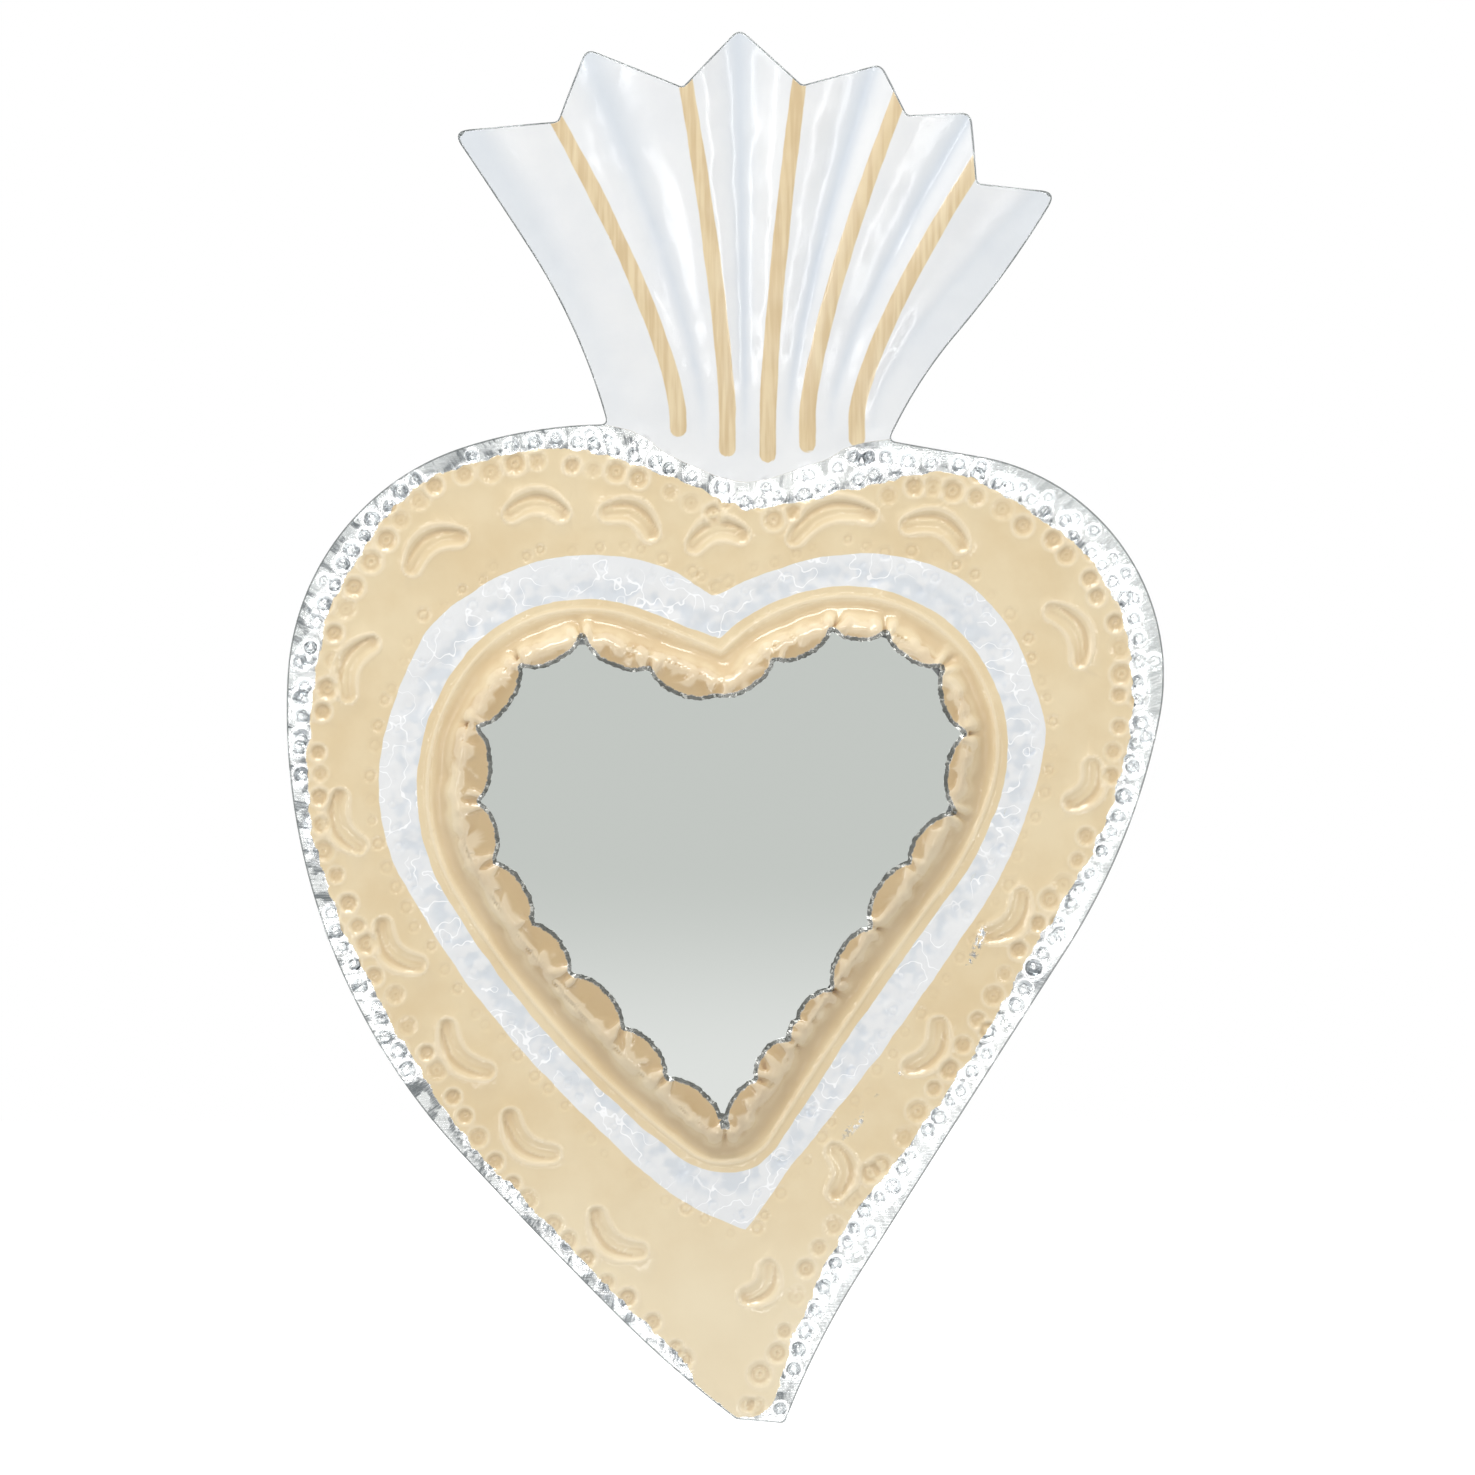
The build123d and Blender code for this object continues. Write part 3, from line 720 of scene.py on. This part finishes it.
class Graph:
    """Adds shader nodes to a tree, one line each."""

    def __init__(self, tree):
        self.tree = tree

    def feed(self, value, socket):
        """Links an output to a socket, or sets a constant directly on it."""
        if isinstance(value, bpy.types.NodeSocket):
            self.tree.links.new(value, socket)
        else:
            socket.default_value = value

    def add(self, kind, settings=None, **inputs):
        """A node. Its inputs go by name, or by number with a dash below in front."""
        made = self.tree.nodes.new(kind)
        for key, value in (settings or {}).items():
            setattr(made, key, value)
        for key, value in inputs.items():
            numbered = key[0] == "_" and key[1:].isdigit()
            self.feed(value, made.inputs[int(key[1:]) if numbered else key.replace("_", " ")])
        return made

    def place(self, group, **inputs):
        return self.add("ShaderNodeGroup", {"node_tree": group}, **inputs)

    def math(self, operation, a, b=0.0, clamp=False):
        return self.add("ShaderNodeMath", {"operation": operation, "use_clamp": clamp}, _0=a, _1=b).outputs[0]

    def times(self, first, *others):
        for other in others:
            first = self.math("MULTIPLY", first, other)
        return first

    def rest_of(self, share, clamp=False):
        return self.math("SUBTRACT", 1.0, share, clamp)

    def mix(self, factor, a, b):
        made = self.add("ShaderNodeMix", {"data_type": "RGBA"})
        for number, value in ((0, factor), (6, a), (7, b)):
            self.feed(value, made.inputs[number])
        return made.outputs[2]

    def coats(self, base, *layers):
        """A colour with others laid over it in turn. Each is its mask and its colour."""
        for mask, shade in layers:
            base = self.mix(mask, base, shade)
        return base

    def where(self):
        return self.add("ShaderNodeTexCoord").outputs["Object"]

    def noise(self, scale, detail=2.0, roughness=0.5, vector=None):
        vector = vector or self.where()
        made = self.add("ShaderNodeTexNoise", Vector=vector, Scale=scale, Detail=detail, Roughness=roughness)
        return made.outputs[0]

    def attribute(self, name):
        return self.add("ShaderNodeAttribute", {"attribute_name": name}).outputs["Fac"]

    def ramp(self, value, low, high):
        """From 0 to 1 between two values, smoothly."""
        smooth = {"clamp": True, "interpolation_type": "SMOOTHSTEP"}
        return self.add("ShaderNodeMapRange", smooth, Value=value, From_Min=low, From_Max=high).outputs[0]


def colour(red, green, blue):
    """A colour as it is seen, 0 to 255, for a shader."""
    seen_shares = (red / 255, green / 255, blue / 255)
    return tuple(((c + 0.055) / 1.055) ** 2.4 if c > 10 / 255 else c / 12.92 for c in seen_shares) + (1.0,)


def new_group(name, inputs, outputs):
    tree = bpy.data.node_groups.new(name, "ShaderNodeTree")
    for label, value in inputs.items():
        tree.interface.new_socket(label, in_out="INPUT", socket_type="NodeSocketFloat").default_value = value
    for label, kind in outputs.items():
        tree.interface.new_socket(label, in_out="OUTPUT", socket_type=kind)
    return Graph(tree), tree.nodes.new("NodeGroupInput").outputs, tree.nodes.new("NodeGroupOutput").inputs


def own_nodes(owner):
    """An empty shader tree for a material or a world."""
    owner.use_nodes = True
    owner.node_tree.nodes.clear()
    return Graph(owner.node_tree)


def new_material(name):
    material = bpy.data.materials.new(name)
    graph = own_nodes(material)
    shader = graph.add("ShaderNodeBsdfPrincipled")
    graph.feed(shader.outputs[0], graph.add("ShaderNodeOutputMaterial").inputs[0])
    return material, graph, shader.inputs


# A painted edge: the brush wanders and the rim is slightly ragged.
g, given, made = new_group(
    "brushed_edge",
    {"Distance": 0.0, "Wander": 0.3, "Size": 400.0, "Softness": 0.08},
    {"Mask": "NodeSocketFloat"},
)
brushed_edge = g.tree
wobble = g.math("SUBTRACT", g.noise(given["Size"], 3.0, 0.55), 0.5)
moved_edge = g.math("ADD", given["Distance"], g.times(wobble, given["Wander"]))
g.feed(g.math("ADD", g.math("DIVIDE", moved_edge, given["Softness"]), 0.5, clamp=True), made["Mask"])

# Bare tinplate: fine rubbing marks and worn patches, where it is duller.
g, given, made = new_group(
    "rubbed_tin",
    {"Roughness": 0.24, "Dullness": 0.1},
    {"Colour": "NodeSocketColor", "Roughness": "NodeSocketFloat", "Height": "NodeSocketFloat"},
)
rubbed_tin = g.tree
worn = g.noise(90.0, 4.0, 0.6)
slanted = (0.0, 0.6, 0.0)
rubbing = g.add("ShaderNodeMapping", Vector=g.where(), Scale=(260.0, 260.0, 2600.0), Rotation=slanted)
scratches = g.noise(1.0, 5.0, 0.65, vector=rubbing.outputs[0])
g.feed(g.mix(g.ramp(worn, 0.45, 0.78), colour(247, 248, 247), colour(222, 224, 224)), made["Colour"])
duller = g.times(g.math("SUBTRACT", worn, 0.5), given["Dullness"])
g.feed(g.math("ADD", given["Roughness"], duller), made["Roughness"])
g.feed(scratches, made["Height"])

# The paint. Masks first: how far each coat's edge wanders, how finely, and how soft the edge is.
BRUSHED = {
    "lacquer": (2.6, 300.0, 0.12),
    "band": (0.9, 160.0, 0.14),
    "crown": (0.8, 150.0, 0.14),
    "stripe": (0.5, 140.0, 0.2),
}
paint, g, skin = new_material("lacquer_and_enamel")
lacquer, band, crown, stripe = (
    g.place(brushed_edge, Distance=g.attribute(name), Wander=wander, Size=size, Softness=softness).outputs[0]
    for name, (wander, size, softness) in BRUSHED.items()
)
where = g.where()
spot = g.add("ShaderNodeSeparateXYZ", _0=where)
sideways, level = spot.outputs[0], spot.outputs[2]
relief, inwards, to_outline = g.attribute("hollow"), g.attribute("inwards"), g.attribute("to_outline")
# Painted shade in the sheet's hollows and painted highlight on its raised parts.
hollow_shade, raised = g.ramp(relief, 0.0, -0.22), g.ramp(relief, 0.02, 0.14)
streaks = g.noise(55.0, 5.0, 0.6)

# Sand lacquer: thin and brushed out over the flat sheet, with painted shade in the pocket and the petals'
# creases.
in_pocket = g.times(g.ramp(inwards, 2.6, 4.4), g.ramp(inwards, 9.5, 6.2))
crease_shade = g.times(g.ramp(relief, -0.12, -0.34), g.ramp(inwards, 3.4, 5.0))
upright = g.add("ShaderNodeMapping", Vector=where, Scale=(900.0, 900.0, 60.0)).outputs[0]
strokes = g.ramp(g.noise(1.0, 2.0, 0.5, vector=upright), 0.35, 0.65)
sand = g.coats(
    g.mix(g.ramp(streaks, 0.3, 0.7), colour(224, 202, 161), colour(232, 214, 177)),
    (g.times(g.ramp(level, -0.04, -0.08), 0.55), colour(243, 230, 200)),  # lighter towards the tip
    (g.times(in_pocket, g.ramp(g.noise(160.0, 4.0, 0.6), 0.42, 0.68)), colour(203, 174, 132)),  # painted shade in the pocket, in blotches
    (g.times(g.ramp(inwards, 4.2, 6.2), 0.75), colour(190, 162, 119)),  # painted shade over the petals
    (g.times(stripe, crown, 0.75, strokes), colour(208, 182, 140)),
    # painted shade in the hollows
    (g.times(hollow_shade, 0.5), colour(198, 168, 124)),
    # painted shade in the petals' creases
    (g.times(crease_shade, 0.75), colour(142, 104, 64)),
    # painted highlight on the raised parts
    (g.times(raised, 0.5), colour(240, 225, 196)),
)

# White enamel: painted shade in patches along the band's inner side, and thin lines of painted highlight over
# the band.
band_shade = g.times(g.ramp(inwards, -7.4, -5.0), g.ramp(g.noise(400.0, 1.0, 0.4), 0.4, 0.64))
band_highlight = g.math("ABSOLUTE", g.math("SUBTRACT", g.noise(260.0, 1.5, 0.5), 0.5))
band_highlight = g.times(g.ramp(band_highlight, 0.016, 0.006), g.ramp(g.noise(90.0), 0.42, 0.52))
white = g.coats(
    g.mix(g.ramp(streaks, 0.3, 0.75), colour(236, 237, 237), colour(228, 230, 232)),
    (g.times(g.attribute("valley"), 0.6), colour(204, 213, 222)),  # painted shade down the flutes' hollows
    # painted shade in the hollows
    (g.times(hollow_shade, 0.8), colour(200, 209, 220)),
    # painted shade in patches
    (g.times(band_shade, band, 0.75), colour(211, 217, 223)),
    # thin lines of painted highlight
    (g.times(band_highlight, band), colour(252, 253, 254)),
)

# Bare border: rubbing marks and painted dark reflections run across it, so they follow the angle round the
# heart.
tin = g.place(rubbed_tin, Roughness=0.2, Dullness=0.16)
turned = g.times(g.math("ARCTAN2", level, sideways), 0.08)
from_middle = g.add("ShaderNodeVectorMath", {"operation": "LENGTH"}, _0=where).outputs["Value"]
across_border, hatching = (
    g.add("ShaderNodeCombineXYZ", X=turned, Y=g.times(from_middle, share)).outputs[0]
    for share in (0.4, 0.07)
)
hatch = g.noise(2400.0, vector=hatching)
# Painted dark reflections, stronger on the left side.
dark_reflection = g.ramp(g.noise(430.0, 3.0, 0.6, vector=across_border), 0.49, 0.57)
dark_reflection = g.times(dark_reflection, g.ramp(g.noise(40.0), 0.3, 0.45))
dark_reflection = g.times(dark_reflection, g.math("ADD", 0.25, g.times(g.ramp(sideways, 0.03, -0.02), 0.75)))
# Painted shade on the tin along the lacquer's edge.
shade_by_paint = g.times(g.ramp(g.attribute("lacquer"), -2.4, -0.8), g.ramp(g.noise(480.0), 0.47, 0.56))
dark = g.math("MAXIMUM", g.times(dark_reflection, 0.9), g.times(shade_by_paint, 0.85))
hatched = g.math("ADD", 0.5, g.times(g.ramp(hatch, 0.3, 0.62), 0.5))
dark = g.times(g.math("MAXIMUM", dark, g.attribute("dull")), hatched)
rubbed = g.times(g.ramp(to_outline, 4.6, 2.6), g.ramp(level, -0.03, 0.02), 0.8)
border = g.coats(
    tin.outputs["Colour"],
    (rubbed, g.mix(g.ramp(hatch, 0.3, 0.7), colour(206, 210, 211), colour(236, 238, 238))),
    (g.times(g.ramp(level, -0.015, -0.06), 0.5), colour(218, 221, 222)),  # darker towards the tip
    # painted shade in the dents
    (g.times(hollow_shade, 0.55), colour(168, 174, 177)),
    # painted dark reflections, painted shade by the lacquer and darker patches
    (dark, colour(104, 110, 114)),
    # painted highlight on the dents' raised rims
    (g.times(raised, 0.65), colour(254, 254, 254)),
)

# All coats together. The chips, the window's ragged edge and the outline's edge are bare. The window's edge
# is also painted dark as a painted shadow along the cut.
is_white = g.times(g.math("MAXIMUM", band, crown), g.rest_of(stripe))
is_paint = g.math("MAXIMUM", g.math("MAXIMUM", lacquer, crown), is_white)
chipped = g.times(g.ramp(g.attribute("chip"), 1.0, 0.3), g.ramp(g.noise(1200.0), 0.47, 0.54))
ragged = g.times(g.math("SUBTRACT", g.noise(900.0, 3.0, 0.7), 0.5), 0.7)
at_window = g.ramp(g.math("ADD", g.attribute("to_window"), ragged), 0.86, 0.62)
at_outline = g.ramp(to_outline, 0.34, 0.2)
bare = g.math("MAXIMUM", chipped, g.math("MAXIMUM", at_window, at_outline))
is_paint = g.times(is_paint, g.rest_of(bare))
is_tin = g.rest_of(is_paint)
# The bare cut edge's grey, with painted shadow that makes it mostly dark.
cut_edge_and_shadow = g.mix(g.ramp(g.noise(1300.0), 0.56, 0.66), colour(98, 99, 94), colour(190, 190, 184))
finish = g.coats(
    border,
    (is_paint, g.mix(is_white, sand, white)),
    (g.times(at_window, 0.9), cut_edge_and_shadow),
    (g.times(at_outline, 0.85), colour(132, 136, 136)),
)
g.feed(finish, skin["Base Color"])
g.feed(g.rest_of(is_paint, clamp=True), skin["Metallic"])
glossy = g.math("ADD", 0.1, g.times(g.noise(220.0), 0.06))
g.feed(g.math("ADD", g.times(is_paint, glossy), g.times(is_tin, tin.outputs["Roughness"])), skin["Roughness"])
# The paint's skin is slightly uneven, and its edge stands a little above the tin.
grain = g.math("ADD", g.times(g.noise(330.0), 0.5, is_paint), g.times(tin.outputs["Height"], is_tin))
grain = g.math("ADD", grain, g.times(is_paint, 0.6))
bump = g.add("ShaderNodeBump", Height=grain, Strength=0.35, Distance=0.00012)
g.feed(bump.outputs[0], skin["Normal"])


def tin_material(name, roughness, dullness, tint):
    """Bare tin or steel with its own shine and some stains."""
    material, g, skin = new_material(name)
    tin = g.place(rubbed_tin, Roughness=roughness, Dullness=dullness)
    stains = g.times(g.ramp(g.noise(75.0, 5.0, 0.65), 0.5, 0.72), 0.5)
    g.feed(g.mix(stains, g.mix(0.75, tin.outputs["Colour"], tint), colour(138, 141, 142)), skin["Base Color"])
    skin["Metallic"].default_value = 1.0
    g.feed(tin.outputs["Roughness"], skin["Roughness"])
    bump = g.add("ShaderNodeBump", Height=tin.outputs["Height"], Strength=0.3, Distance=0.0001)
    g.feed(bump.outputs[0], skin["Normal"])
    return material


# The front is painted, and the back and the cut edges are bare. The edges stay sharp.
sheet.data.materials.append(paint)
sheet.data.materials.append(tin_material("bare_tinplate", 0.3, 0.2, colour(206, 209, 210)))
face_number = np.arange(len(sheet.data.polygons))
sheet.data.polygons.foreach_set("material_index", (face_number >= len(faces)).astype(np.int32))
sheet.data.polygons.foreach_set("use_smooth", face_number < 2 * len(faces))
corner_normals = np.zeros((len(sheet.data.loops), 3))
corner_normals[: faces.size] = normal[faces.ravel()]
corner_normals[faces.size : 2 * faces.size] = -normal[faces[:, ::-1].ravel()]
sheet.data.normals_split_custom_set(corner_normals)
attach(sheet, "frame")
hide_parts("front_sheet")

# ---------------------------------------------------------------- mirror glass
# A heart of thin mirror glass, cut by hand and silvered at the back. It lies loose in the pocket, between the
# petals in front and the card behind.

silvered, g, skin = new_material("silvered_glass")
skin["Base Color"].default_value = colour(222, 225, 222)
skin["Metallic"].default_value = 1.0
skin["Roughness"].default_value = 0.03


def dress(name, material):
    """Gives a carried-over piece its material."""
    piece = nodes[name]
    piece.data.materials.clear()
    piece.data.materials.append(material)


dress("mirror_glass", silvered)

# ---------------------------------------------------------------- backing card and back plate
# A grey-brown card keeps the glass from rattling, and a flat tin heart closes the pocket behind it. The card
# lies loose, and the plate is soldered on round its edge.

card, g, skin = new_material("grey_board")
g.feed(g.mix(g.noise(900.0, 6.0, 0.7), colour(150, 138, 120), colour(186, 174, 154)), skin["Base Color"])
skin["Roughness"].default_value = 0.9
dress("backing_card", card)
dress("back_plate", tin_material("plain_tinplate", 0.34, 0.3, colour(190, 193, 194)))

# ---------------------------------------------------------------- solder
# Drops of soft solder, melted on with a hot iron, hold the back plate and the strap. They are dull, with a
# slightly frosted skin.

solder = tin_material("soft_solder", 0.42, 0.35, colour(176, 178, 180))
dress("plate_solder", solder)
dress("strap_solder", solder)

# ---------------------------------------------------------------- hanging loop and its strap
# A loop of galvanised wire, bent by hand, turns in the fold of a tin strap behind the foot of the crown. Two
# drops of solder hold the strap.

dress("hanger_strap", tin_material("strap_tinplate", 0.3, 0.2, colour(198, 201, 203)))
dress("hanging_loop", tin_material("galvanised_wire", 0.36, 0.3, colour(190, 192, 196)))

# ---------------------------------------------------------------- studio
# A white room with soft light from above, and a pale floor well under the mirror. Cards that are seen in
# reflections only draw the shine of the tin, the paint and the glass.

AMBIENT = 0.55  # of the room's light on dull surfaces, when the room itself is seen as 1
FLOOR_HALF, FLOOR_Z = 8.0, -0.6


def looked_at(g):
    """1 where a surface is seen directly, in a reflection or through glass."""
    path = g.add("ShaderNodeLightPath")
    shiny = g.math("MAXIMUM", path.outputs["Is Glossy Ray"], path.outputs["Is Transmission Ray"])
    return g.math("MAXIMUM", path.outputs["Is Camera Ray"], shiny)


floor_mesh = bpy.data.meshes.new("floor")
floor_corners = [(x * FLOOR_HALF, y * FLOOR_HALF, FLOOR_Z) for x, y in ((-1, -1), (1, -1), (1, 1), (-1, 1))]
floor_mesh.from_pydata(floor_corners, [], [(0, 1, 2, 3)])
floor_paint = bpy.data.materials.new("pale_floor")
g = own_nodes(floor_paint)
diffuse = g.add("ShaderNodeBsdfDiffuse", Color=(0.8, 0.8, 0.8, 1.0))
glow = g.add("ShaderNodeEmission", Color=(1.0, 1.0, 1.0, 1.0), Strength=g.times(looked_at(g), 0.85))
both_shaders = g.add("ShaderNodeAddShader", _0=diffuse.outputs[0], _1=glow.outputs[0])
g.feed(both_shaders.outputs[0], g.add("ShaderNodeOutputMaterial").inputs[0])
floor_mesh.materials.append(floor_paint)
floor = new_object("floor", floor_mesh)

world = bpy.data.worlds.new("studio")
bpy.context.scene.world = world
g = own_nodes(world)
strength = g.math("ADD", AMBIENT, g.times(looked_at(g), 1 - AMBIENT))
background = g.add("ShaderNodeBackground", Color=(1.0, 1.0, 1.0, 1.0), Strength=strength)
g.feed(background.outputs[0], g.add("ShaderNodeOutputWorld").inputs[0])

# Soft rectangular lamps, turned to the heart's middle: place, size and power.
AIM = Vector((0, 0, 0.03))
LAMPS = {
    "top": ((-0.15, -0.62, 1.0), (1.0, 0.25), 9.0),
    "left": ((-1.1, -0.9, 0.2), (0.16, 0.9), 2.2),
    "right": ((1.1, -0.95, 0.3), (0.16, 0.9), 1.8),
    "low": ((0.1, -1.0, -0.9), (0.9, 0.12), 0.9),
}
for name, (stand, (wide, high), power) in LAMPS.items():
    lamp = bpy.data.lights.new(name, "AREA")
    lamp.shape = "RECTANGLE"
    lamp.size, lamp.size_y, lamp.energy = wide, high, power
    lit_from = new_object(name, lamp)
    lit_from.location = stand
    lit_from.rotation_euler = (AIM - Vector(stand)).to_track_quat("-Z", "Y").to_euler()


def reflected(name, cards, shade, strength=1.0):
    """Cards that glow in reflections only. Each is its middle, its half width and its half height."""
    card_corners, sides = [], []
    for (x, y, z), wide, high in cards:
        sides.append([len(card_corners) + n for n in range(4)])
        card_corners += [(x + i * wide, y, z + j * high) for i, j in ((-1, -1), (1, -1), (1, 1), (-1, 1))]
    mesh = bpy.data.meshes.new(name)
    mesh.from_pydata(card_corners, [], sides)
    made = new_object(name, mesh)
    material = bpy.data.materials.new(name)
    g = own_nodes(material)
    glow = g.add("ShaderNodeEmission", Color=shade(g), Strength=strength)
    g.feed(glow.outputs[0], g.add("ShaderNodeOutputMaterial").inputs[0])
    mesh.materials.append(material)
    for kind in ("camera", "diffuse", "shadow", "transmission"):
        setattr(made, "visible_" + kind, False)


def graded(low, high, below, above):
    """A shade that changes with height from one colour to another."""

    def shade(g):
        level = g.add("ShaderNodeSeparateXYZ", _0=g.where()).outputs[2]
        return g.mix(g.ramp(level, low, high), below, above)

    return shade


# What only shiny things see: a grey card in front, which the glass shows, dark flags round it that draw the
# relief of the paint and the tin, thin bright bars between them, and a graded card behind for the back.
FLAGS = (
    ((0.0, -1.2, 0.56), 0.7, 0.13),
    ((0.0, -1.2, -0.6), 0.7, 0.12),
    ((-0.62, -1.2, 0.0), 0.1, 0.4),
    ((0.66, -1.2, 0.0), 0.1, 0.4),
)
BARS = (
    ((-0.44, -1.0, 0.0), 0.022, 0.34),
    ((0.46, -1.0, 0.0), 0.022, 0.34),
    ((0.0, -1.0, 0.46), 0.4, 0.022),
    ((0.0, -1.0, -0.44), 0.4, 0.022),
)
BAR_STRENGTH = 10.0
fading = graded(-0.045, -0.175, colour(224, 226, 224), colour(255, 255, 255))
rising = graded(-0.58, 1.1, colour(120, 124, 127), colour(238, 240, 241))
reflected("grey_card", [((0, -2.2, 0.0), 0.5, 0.45)], fading)
reflected("flags", FLAGS, lambda g: colour(96, 100, 102))
reflected("bars", BARS, lambda g: (1.0, 1.0, 1.0, 1.0), BAR_STRENGTH)
reflected("back_card", [((0, 1.5, 0.5), 2.2, 1.08)], rising)

VIEW_WIDTH, LENS, SENSOR = 0.2655, 135.0, 36.0
CENTRE = (0.00225, 0.02565)
FACE_Y = -0.002  # the depth at which the view has this width
camera_data = bpy.data.cameras.new("camera")
camera_data.lens, camera_data.sensor_width = LENS, SENSOR
camera = new_object("camera", camera_data)
camera.location = (CENTRE[0], FACE_Y - VIEW_WIDTH * LENS / SENSOR, CENTRE[1])
camera.rotation_euler = (math.pi / 2, 0.0, 0.0)
bpy.context.scene.camera = camera
bpy.context.scene.view_settings.view_transform = "Standard"
